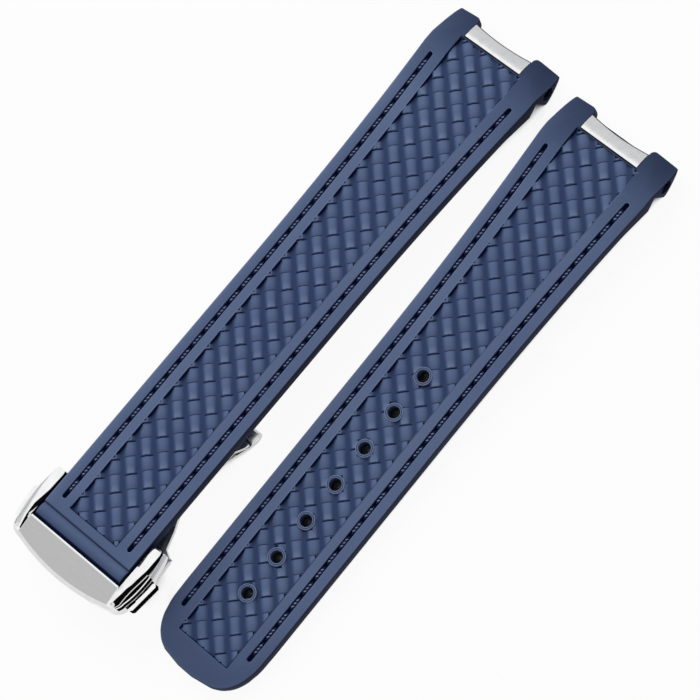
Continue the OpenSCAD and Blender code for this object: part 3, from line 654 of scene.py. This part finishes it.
tail_rows = lines_along(tail_groove, tail_panel_end, [
    hole + way * o for hole in holes for o in (0, *hole_lines) for way in (-1, 1)
] + [99, 101.9, 102.7, 103.5, 104.2, 104.8, 105.2, 105.34, 105.44, 105.485, tail_strap_l])
bm = moulded_strap(tail_rows, tail_panel_end, tail_groove, True)
drill = bmesh.new()
rod(drill, tube_r, drill_half, (0, -tube_at, -tube_low))
tail_body = piece("tail_strap_body", bored(bm, drill), "tail_strap", navy, tail_place, 32)
shaded(tail_body, tail_place, body_tone(tail_groove, tail_strap_l, tail_panel_end, True))
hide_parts("tail_strap")


# Woven panels
# The sunk panel of each half carries moulded silicone rows that look like woven reed, at 45 degrees.
# Along a row, narrow high strands take turns with wider low ones that go under the next row.
# A strip of painted shadow lines the panel's left wall, except where a row's last strand runs out into
# the border.

pitch = 2.6
valley_z = -0.46
weave_start = 4.3
weave_tuck = 0.16
hole_clear = 1.36
row_reach = 9
row_margin = 8
run_out_l = 1.15
run_out_z = -0.012
shadow_ring_spacing = 0.15
diagonal = math.sqrt(0.5)

# Half width, height, fall along its length and radius of the top, of a high and of a low strand
high_strand = (0.66, -0.02, 0.09, 1.25)
low_strand = (0.76, -0.14, 0.07, 1.45)

# Depth and half width of the cut that a strand goes under, and of the notch between two strands
deep_cut = (0.3, 0.14)
shallow_cut = (0.12, 0.1)

# Place of one row across the diagonal, and where even and odd rows have their deep and shallow cut
clasp_weave = (1.45, ((2.8, 0.45), (0.2, 3.0)))
tail_weave = (1.28, ((2.75, 0.3), (0.2, 2.9)))

# The woven rows' dark colour is painted shade, mixed into their valleys and cuts.
navy_weave = silicone("navy_woven_silicone", (0.074, 0.106, 0.196), (0.003, 0.012, 0.055), 0.26)


def strand_lines(w):
    """Places across a row that is w wide to each side: a rounded top between two flat valleys."""
    right = (0.25 * w, 0.5 * w, 0.75 * w, w, w + 0.1, w + 0.22, w + 0.35, 0.5 * (w + 1.65), pitch / 2)
    return [-o for o in reversed(right)] + [0] + list(right)


def strand_point(t, high_l, k):
    """Place across the row, height and painted tone of its k-th point, at t along the row from a deep
    cut.
    """
    if t < high_l:
        w, crown, fall, r = high_strand
        crown -= fall * t / high_l
    else:
        w, crown, fall, r = low_strand
        crown -= fall * (t - high_l) / (2 * pitch - high_l)
    a = strand_lines(w)[k]
    off = abs(a)
    sag = r - math.sqrt(r * r - min(off, w) ** 2)
    sunk = between_points(off, (w, w + 0.1, w + 0.22, w + 0.35), (0, 0.25, 0.75, 1))
    z = (crown - sag) * (1 - sunk) + valley_z * sunk
    below = 2 * pitch - t
    shallow = abs(t - high_l)
    cut = deep_cut[0] * max(0, 1 - min(t, below) / deep_cut[1])
    cut += shallow_cut[0] * max(0, 1 - shallow / shallow_cut[1])
    # Painted shade in the valleys and the cuts.
    valley = between_points(off, (0.5 * w, 0.85 * w, w + 0.1, w + 0.35), (0, 0.12, 0.42, 0.66))
    tone = max(valley, between_points(below, (0.1, 0.2), (1, 0)), between_points(t, (0.0, 0.06), (1, 0)))
    tone = max(tone, between_points(shallow, (0.03, 0.11), (0.62, 0)))
    # A painted highlight just past each deep cut.
    if 0.06 < t < 0.3 and off < w:
        tone = -0.17
    if off > w + 0.25:
        tone, cut = valley, 0
    return a, max(z - cut * (1 - sunk), -panel_depth + 0.005), tone


def row_lines(middle, deep_at, high_l):
    """Places along one row that its mesh needs a line at, close together beside the cuts."""
    lines = []
    first = math.floor((middle - row_reach - deep_at) / (2 * pitch))
    last = math.ceil((middle + row_reach - deep_at) / (2 * pitch))
    for n in range(first, last):
        start = deep_at + 2 * pitch * n
        lines += [start + o for o in (0, 0.06, 0.14, 0.3, 0.5 * high_l)]
        lines += [start + high_l + o for o in (-0.11, -0.04, -0.005, 0.005, 0.04, 0.11)]
        lines += [start + (high_l + 2 * pitch) / 2]
        lines += [start + 2 * pitch - o for o in (0.2, 0.12, 0.005)]
    return sorted(lines)


def woven_panel(name, body, place, end, weave, has_holes):
    """A panel of woven rows from the end plate to the given end, left open at the holes."""
    row_at, cuts = weave
    bm = bmesh.new()
    tone_layer = bm.verts.layers.float.new("painted_light_tone")
    first = math.floor((-end - row_margin) * diagonal / pitch)
    last = math.ceil((-weave_start + row_margin) * diagonal / pitch)
    for k in range(first, last + 1):
        middle = row_at + pitch * k
        deep_at, shallow_at = cuts[k % 2]
        high_l = (shallow_at - deep_at) % (2 * pitch)
        lines = row_lines(middle, deep_at, high_l)
        made = bmesh.ops.create_grid(bm, x_segments=18, y_segments=len(lines) - 1, size=1)
        for v in made["verts"]:
            along = lines[round((v.co.y + 1) / 2 * (len(lines) - 1))]
            past_cut = (along - deep_at) % (2 * pitch)
            a, z, tone = strand_point(past_cut, high_l, round((v.co.x + 1) * 9))
            u = middle + a
            x, y = (u - along) * diagonal, (u + along) * diagonal
            to_border = (x + recess_x(max(-y, panel_start))) / diagonal
            if x < 0 and abs(a) < high_strand[0] and past_cut + to_border < run_out_l:
                z, tone = run_out_z, 0
            v.co = (x, y, z)
            v[tone_layer] = tone
    spare = []
    for f in bm.faces:
        c = f.calc_center_median()
        d = -c.y
        beside = abs(c.x) > recess_x(max(d, panel_start)) + weave_tuck
        in_hole = has_holes and any(math.hypot(c.x, d - hole) < hole_clear for hole in holes)
        if beside or in_hole or not weave_start <= d <= end + weave_tuck:
            spare.append(f)
    bmesh.ops.delete(bm, geom=spare, context="FACES")
    bmesh.ops.remove_doubles(bm, verts=bm.verts, dist=0.0005)
    piece(name, bm, body, navy_weave, place, 50)


def drawn_out(rings, bm=None):
    """Adds a closed bar through rings of points, each with its place in x, y and z and its tone."""
    bm = bm or bmesh.new()
    tone_layer = bm.verts.layers.float.get("painted_light_tone") or bm.verts.layers.float.new("painted_light_tone")
    count, last = len(rings[0]), len(rings) - 1
    made = bmesh.ops.create_grid(bm, x_segments=count, y_segments=last, size=1)["verts"]
    for v in made:
        ring = rings[round((v.co.y + 1) / 2 * last)]
        x, y, z, tone = ring[round((v.co.x + 1) / 2 * count) % count]
        v.co = (x, y, z)
        v[tone_layer] = tone
    bmesh.ops.remove_doubles(bm, verts=made, dist=0.0002)
    bmesh.ops.holes_fill(bm, edges=bm.edges[:], sides=0)
    bmesh.ops.recalc_face_normals(bm, faces=bm.faces)
    return bm


def shadow_strip_ring(x, d, w):
    """Cross-section of the strip of painted shadow, which reaches w into the panel from its left wall."""
    low, wall_top, top = -panel_depth, -0.05, -0.03
    return [(x - 0.01, -d, low, 1), (x - 0.01, -d, wall_top, 1), (x + w, -d, top, 1), (x + w, -d, low, 1)]


def paint_border_shadow(name, body, place, end, weave):
    """The strip of painted shadow at the left border, in runs that taper at both ends."""
    row_at, cuts = weave
    bm = bmesh.new()
    run = []
    d = weave_start
    while d < end:
        x = -recess_x(d)
        across, along = (x - d) * diagonal, (-d - x) * diagonal
        k = round((across - row_at) / pitch)
        off = across - row_at - pitch * k
        filled = -0.75 < off < 0.3 and (along - cuts[k % 2][0]) % (2 * pitch) < run_out_l
        if not filled:
            run.append((x, d))
        if (filled or d + shadow_ring_spacing >= end) and len(run) > 3:
            widths = [0.06, 0.15] + [0.23] * (len(run) - 4) + [0.15, 0.06]
            drawn_out([shadow_strip_ring(*at, w) for at, w in zip(run, widths)], bm)
        if filled:
            run = []
        d += shadow_ring_spacing
    piece(name, bm, body, navy, place, 50)


woven_panel("clasp_strap_weave", "clasp_strap", clasp_place, clasp_panel_end, clasp_weave, False)
woven_panel("tail_strap_weave", "tail_strap", tail_place, tail_panel_end, tail_weave, True)
paint_border_shadow("clasp_strap_border_shadow_strip", "clasp_strap", clasp_place, clasp_panel_end, clasp_weave)
paint_border_shadow("tail_strap_border_shadow_strip", "tail_strap", tail_place, tail_panel_end, tail_weave)


# Stitching
# A row of thick twisted thread lies in each groove, in short stitches with gaps between.
# Each stitch shows three slanted strands in a lighter copy of the thread's colour, a painted highlight.

stitch_pitch = 2.91
thread_size = (0.34, 1.32, 0.24, 1)
thread_z = -0.4
strand_size = (0.13, 0.3, 0.09, 1)
strand_z = -0.2
strand_spread = 0.62
strand_turn = Matrix.Rotation(math.radians(-38), 4, "Z")
thread_dark = silicone("navy_thread", (0.008, 0.014, 0.045), (0.002, 0.004, 0.012), 0.15)
# The strands' lighter colour is a painted highlight on the dark thread.
thread_light = silicone("navy_thread_lit", (0.16, 0.2, 0.33), (0.002, 0.004, 0.012), 0.5)


def stitch_places(groove):
    """Middle of each stitch, across and along a strap."""
    count = int((groove[1] - groove[0]) / stitch_pitch)
    start = (groove[0] + groove[1] - count * stitch_pitch) / 2
    for side in (-1, 1):
        for k in range(count):
            d = start + (k + 0.5) * stitch_pitch
            yield side * lane(groove_x, d), -d


for half_name, place, groove in (
    ("clasp_strap", clasp_place, clasp_groove),
    ("tail_strap", tail_place, tail_groove),
):
    threads = bmesh.new()
    strands = bmesh.new()
    for x, y in stitch_places(groove):
        bmesh.ops.create_icosphere(
            threads, subdivisions=2, radius=1,
            matrix=Matrix.Translation((x, y, thread_z)) @ Matrix.Diagonal(thread_size),
        )
        for o in (-strand_spread, 0, strand_spread):
            spot = Matrix.Translation((x, y - o, strand_z))
            bmesh.ops.create_icosphere(
                strands, subdivisions=1, radius=1,
                matrix=spot @ strand_turn @ Matrix.Diagonal(strand_size),
            )
    piece(half_name + "_stitches", threads, half_name, thread_dark, place, 80)
    piece(half_name + "_stitch_strands", strands, half_name, thread_light, place, 80)


# End plates
# A curved steel plate closes the gap between the ears of each half. It is let into the silicone.
# It is stamped and rolled. Its outer edge is hollowed. Painted shade covers its top, left off along the
# inner edge as a painted highlight between two painted dark lines.

plate_half = 5.5
plate_hollow = 0.42
plate_inset = 0.03
plate_low = 0.65
plate_highlight_at = 3.8


def steel(name, colour, low_rough, high_rough, relief_strength, scale=900, stretch=(1, 1, 1),
          painted_dark_sides=False):
    """Stainless steel with fine streaks and a slightly uneven polish. Painted tones darken it, or painted
    shade darkens its upright sides.
    """
    material = bpy.data.materials.new(name)
    tree = cleared_tree(material)
    places = add_node(tree, "TexCoord")
    mapping = add_node(tree, "Mapping", {"Scale": stretch}, {"Vector": places.outputs["Object"]})
    streaks = add_node(
        tree, "TexNoise", {"Scale": scale, "Detail": 4}, {"Vector": mapping.outputs[0]},
    ).outputs["Fac"]
    rough = add_node(
        tree, "MapRange",
        {"From Min": 0.3, "From Max": 0.7, "To Min": low_rough, "To Max": high_rough},
        {"Value": streaks},
    )
    dull = [c * 0.95 for c in colour]
    fresh = [min(c * 1.04, 1) for c in colour]
    tint = add_ramp(tree, streaks, ((0.3, dull), (0.7, fresh)))
    if painted_dark_sides:
        # Painted shade on upright sides, from the object-space normal.
        facing = add_node(tree, "SeparateXYZ", links={0: places.outputs["Normal"]})
        upright = add_node(
            tree, "Math", links={0: facing.outputs["Z"]}, options={"operation": "ABSOLUTE"},
        )
        tone = add_node(
            tree, "MapRange", {"From Min": 0.35, "From Max": 0.2}, {"Value": upright.outputs[0]},
        ).outputs["Result"]
    else:
        # The stored tones paint dark reflections and shade onto the steel.
        tone = add_node(tree, "Attribute", options={"attribute_name": "painted_light_tone"}).outputs["Fac"]
    darkened = add_node(
        tree, "Mix", {"B": (0.004, 0.004, 0.004, 1)}, {"Factor": tone, "A": tint}, {"data_type": "RGBA"},
    )
    bare = add_node(
        tree, "Math", {0: 1.0}, {1: tone}, {"operation": "SUBTRACT", "use_clamp": True},
    )
    relief = add_node(
        tree, "Bump", {"Strength": relief_strength, "Distance": 0.00002}, {"Height": streaks},
    )
    shader = add_node(tree, "BsdfPrincipled", {"Specular IOR Level": 0.0}, {
        "Base Color": darkened.outputs["Result"],
        "Metallic": bare.outputs[0],
        "Roughness": rough.outputs["Result"],
        "Normal": relief.outputs["Normal"],
    })
    add_node(tree, "OutputMaterial", links={"Surface": shader.outputs[0]})
    return material


def end_plate_ring(x):
    """Cross-section of the plate at x, from its hollowed outer edge over the top and back below."""
    outer = plate_at + plate_hollow * (1 - (x / plate_half) ** 2)
    lines = [outer, outer + 0.1, outer + 0.16]
    lines += [outer + (plate_highlight_at - outer) * k / 8 for k in range(1, 9)]
    lines += [3.88, 3.97]
    # Painted tones: dark lines at the outer edge and beside the inner edge, painted shade over the top
    # and below, and a painted highlight at the inner edge.
    tones = (1, 1, 0.4, 0.39, 0.38, 0.38, 0.38, 0.37, 0.3, 0.05, 0, 1, 1)
    top = [(x, -d, plate_z(d) - plate_inset, tone) for d, tone in zip(lines, tones)]
    low = [(x, -d, plate_z(d) - plate_low, 0.6) for d in reversed(lines)]
    return top + low


rolled = steel("rolled_steel", (0.92, 0.92, 0.93), 0.2, 0.26, 0.02)
for half_name, place in (("clasp_strap", clasp_place), ("tail_strap", tail_place)):
    bm = drawn_out([end_plate_ring(plate_half * k / 8) for k in range(-8, 9)])
    plate = piece(half_name + "_plate", bm, half_name, rolled, place, 40)
    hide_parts(half_name + "_end_plate")


# Case bar tubes
# A drawn steel tube is moulded into the ears of each half.
# A spring bar goes through it to hold the strap on a case.

def dress(names, material, width=0):
    """Gives CAD nodes their metal and breaks their sharp edges by the given width."""
    for name in names:
        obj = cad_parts[name]
        obj.data.materials.clear()
        obj.data.materials.append(material)
        if width:
            weld = obj.modifiers.new("weld", "WELD")
            weld.merge_threshold = 0.000002
            bevel = obj.modifiers.new("broken_edges", "BEVEL")
            bevel.width = width
            bevel.segments = 2
            bevel.limit_method = "ANGLE"
            bevel.angle_limit = math.radians(40)
            bevel.harden_normals = True


polished = steel("polished_steel", (0.72, 0.72, 0.73), 0.07, 0.14, 0.03)
dress(["clasp_strap_bar_tube", "tail_strap_bar_tube"], polished)


# Clasp spring bar
# A turned steel barrel runs through the roll at the end of the clasp strap.
# A coil of spring wire inside it pushes two tips out into the cover's lugs.

wire = steel("spring_steel", (0.5, 0.5, 0.52), 0.15, 0.25, 0.05, 2000)
dress(["clasp_bar_barrel", "clasp_bar_tip_left", "clasp_bar_tip_right"], polished, 0.00003)
dress(["clasp_bar_spring"], wire)


# Clasp cover
# The cover is milled from stainless steel, and its sharp edges are broken by tumbling.
# Its curved top is brushed to a satin face, and its edge along the strap's roll is polished.
# A polished lug stands at each side of the roll. A ridge and a rim run along its outer slope. Dark bands
# on the lugs are painted reflections and shade.

clasp_frame = clasp_place @ Matrix.Translation((0, -clasp_strap_l, -roll_r))
cover_top_r = 16
cover_end_r = 34
cover_side_r = 20
face_half = 9.25
face_start = -1.73
face_inset = 0.62
face_flare = 0.008
face_lift = 0.014
face_t = 0.1
lug_tip = 6.66
lug_tip_r = 0.8
lug_in = 9.38
lug_foot_z = -0.6
lug_lift = 0.012
rim_w = 0.16
rim_end = 2.6
slope_end = -4.3


def cover_z(y):
    """Height of the cover's curved top."""
    return math.sqrt(cover_top_r ** 2 - (y + 0.26) ** 2) - 14.489


def cover_end(x):
    """Where the cover's curved far edge lies."""
    return 27.4 - math.sqrt(cover_end_r ** 2 - x * x)


def cover_side(y):
    """Half the width of the cover."""
    if y > -3:
        return math.sqrt(cover_side_r ** 2 - (y - 1.5) ** 2) - 8.1
    return 8.987 + 2.4 * math.sqrt(max(1 - ((y + 3.01) / 2.38) ** 2, 0))


def plain_top(x, y):
    """Height of the plain lug and top that the polished lug is laid on."""
    level = cover_z(y) if y < -1.655 else 1.386 - 0.039 * y
    return min(level, 1.1 - 0.4452 * (x - 10))


dress(["clasp_cover"], polished, 0.0001)

satin = steel("satin_steel", (0.485, 0.485, 0.49), 0.3, 0.36, 0.02, 9000, (0.05, 1, 1))
bm = bmesh.new()
bmesh.ops.create_grid(bm, x_segments=24, y_segments=10, size=1)
for v in bm.verts:
    x = face_half * v.co.x
    share = (v.co.y + 1) / 2
    y = face_start + (cover_end(x) + face_inset - face_start) * share
    v.co = (x * (1 + face_flare * share), y, cover_z(y) + face_lift)
made = bmesh.ops.extrude_face_region(bm, geom=bm.faces[:], use_keep_orig=True)
low = [v for v in made["geom"] if isinstance(v, bmesh.types.BMVert)]
bmesh.ops.translate(bm, vec=(0, 0, -face_t), verts=low)
bmesh.ops.recalc_face_normals(bm, faces=bm.faces)
piece("clasp_cover_face", bm, "clasp_cover", satin, clasp_frame, 40)

bright = steel("bright_steel", (0.9, 0.9, 0.91), 0.05, 0.1, 0.02)
lip_edge = (
    (-1.74, 1.37), (-1.74, 1.462), (-1.6, 1.475), (-1.47, 1.44),
    (-1.42, 1.36), (-1.42, 1.3), (-1.66, 1.0),
)
# The lip's lower faces carry painted shade, a dark line against the strap's roll.
lip_painted_shade = (0, 0, 0, 0, 0.05, 1, 1)
bm = drawn_out([
    [(x, y, z, tone) for (y, z), tone in zip(lip_edge, lip_painted_shade)] for x in (-face_half, -3, 3, face_half)
])
piece("clasp_cover_lip", bm, "clasp_cover", bright, clasp_frame, 30)


def lug_painted_tones(y, side):
    """Painted tones of a lug's inner wall, slope, ridge, lower slope, rim and outer wall at y: dark bands
    that stand in for dark reflections, different on the left and right lug.
    """
    if y < slope_end:
        return [0.1] * 6
    if side < 0:
        return 1, 0.4, 0.85, 0.35, 0, 0.1
    if y < rim_end:
        return 0.05, 1, 0.1, 1, 0, 1
    return 0.05, 1, 1, 0.35, 0.3, 0.35


def lug_ring(y, side):
    """Cross-section of a lug at y, from its inner wall over the crest and down to the button."""
    wide = cover_side(y) + lug_lift
    crest = between_points(y, (-4.4, -3, -2, -1, 0), (1.0, 1.33, 1.48, 1.52, 1.5))
    inner_at = (-4.4, -3, -2, 0, 1, 3, 5, 6.6)
    inner = between_points(y, inner_at, (9.6, 9.8, 9.95, 10.1, 10.05, 9.8, 9.65, 9.75))
    if side < 0 and y > 0:
        inner = between_points(y, (0, 1, 3, 6.6), (10.1, 9.95, 9.62, 9.48))
    outer_at = (-4.4, -3, -2, -1, 0, 1, 3, 6.6)
    outer = between_points(y, outer_at, (9.8, 10.1, 10.3, 10.4, 10.65, 10.75, 11.05, 11.1))
    tip = round_off(lug_tip - y, lug_tip_r)
    inner += 0.6 * tip
    outer = min(outer, wide - 0.3) - 0.3 * tip
    rim_z = between_points(y, (-3, 0, 2.4, 3, 5, 6.6), (0.5, 0.55, 0.6, 0.65, 0.75, 0.8))
    rim_in = wide - rim_w
    slope_z = crest - 0.08
    ridge = outer + (rim_in - outer) * between_points(y, (-3.6, -2, 0, 2.4), (0.8, 0.6, 0.52, 0.62))
    if side > 0 and not slope_end < y < rim_end:
        ridge = outer + between_points(y, (rim_end, 5, 6.6), (0.5, 0.32, 0.12))
    gap, slope, line, lower, edge, wall = lug_painted_tones(y, side)

    def on_slope(x, lift=0):
        """Height of the outer slope at x."""
        return slope_z + (rim_z - slope_z) * (x - outer - 0.03) / (rim_in - outer - 0.03) + lift

    base = plain_top(9.4, y) + face_lift
    points = [
        (lug_in, lug_foot_z, 1), (lug_in, base - 0.05, 1),
        (lug_in + 0.01, base, gap), (inner - 0.03, crest - 0.01, gap),
        (inner, crest, 0), (outer, crest - 0.04, 0), (outer + 0.03, slope_z, slope),
        (ridge - 0.07, on_slope(ridge - 0.07), slope), (ridge - 0.03, on_slope(ridge - 0.03, 0.04), line),
        (ridge + 0.03, on_slope(ridge + 0.03, 0.04), line), (ridge + 0.07, on_slope(ridge + 0.07), lower),
        (rim_in - 0.03, on_slope(rim_in - 0.03, -0.04), lower), (rim_in, rim_z, edge),
        (wide - 0.03, rim_z - 0.06, edge), (wide, rim_z - 0.12, wall), (wide, lug_foot_z, wall),
    ]
    flush = between_points(y, (-5, -3.8), (0, 1))
    ring = []
    for x, z, tone in points:
        if z > -0.5:
            level = plain_top(x, y) + face_lift
            z = level + max(z - level, 0) * flush - 0.75 * tip
        ring.append((side * x, y, z, tone))
    return ring


lug_rows = [
    6.64, 6.6, 6.5, 6.35, 6.2, 6, 5.5, 5, 4.3, 3.6, 3, 2.65, 2.55, 2.35, 2.25, 2, 1.5, 1, 0.5, 0,
    -0.5, -0.95, -1.05, -1.5, -2, -2.5, -3, -3.3, -3.55, -3.65, -3.9, -4.1, -4.25, -4.35, -4.6, -4.8,
]
for side, side_name in ((-1, "left"), (1, "right")):
    bm = drawn_out([lug_ring(y, side) for y in lug_rows])
    piece("clasp_cover_lug_" + side_name, bm, "clasp_cover", bright, clasp_frame, 25)


# Push-buttons
# A polished steel button slides in each side of the cover, pushed out by a coil of spring wire.
# Its upright sides carry painted shade, as if they lay in the shadow of the lug.

button_steel = steel("button_steel", (0.9, 0.9, 0.91), 0.05, 0.1, 0.02, painted_dark_sides=True)
dress(["push_button_left", "push_button_right"], button_steel, 0.0001)
dress(["button_spring_left", "button_spring_right"], wire)


# Blades
# Two blades are stamped from steel strip, bent to the wrist and brushed along their length.
# One pin joins them to each other and another one joins the upper blade to the cover.

brushed = steel("brushed_steel", (0.6, 0.6, 0.61), 0.2, 0.3, 0.06, 9000, (1, 0.05, 1))
dress(["upper_blade", "lower_blade"], brushed, 0.0002)
dress(["cover_hinge_pin", "blade_hinge_pin"], polished, 0.00005)


# Peg frame
# A brushed steel frame swings on two short pins at the end of the lower blade.
# Its polished peg goes through one of the holes and holds the tail strap.

dress(["peg_frame"], brushed, 0.0002)
dress(["peg_frame_pins", "strap_peg"], polished, 0.00005)
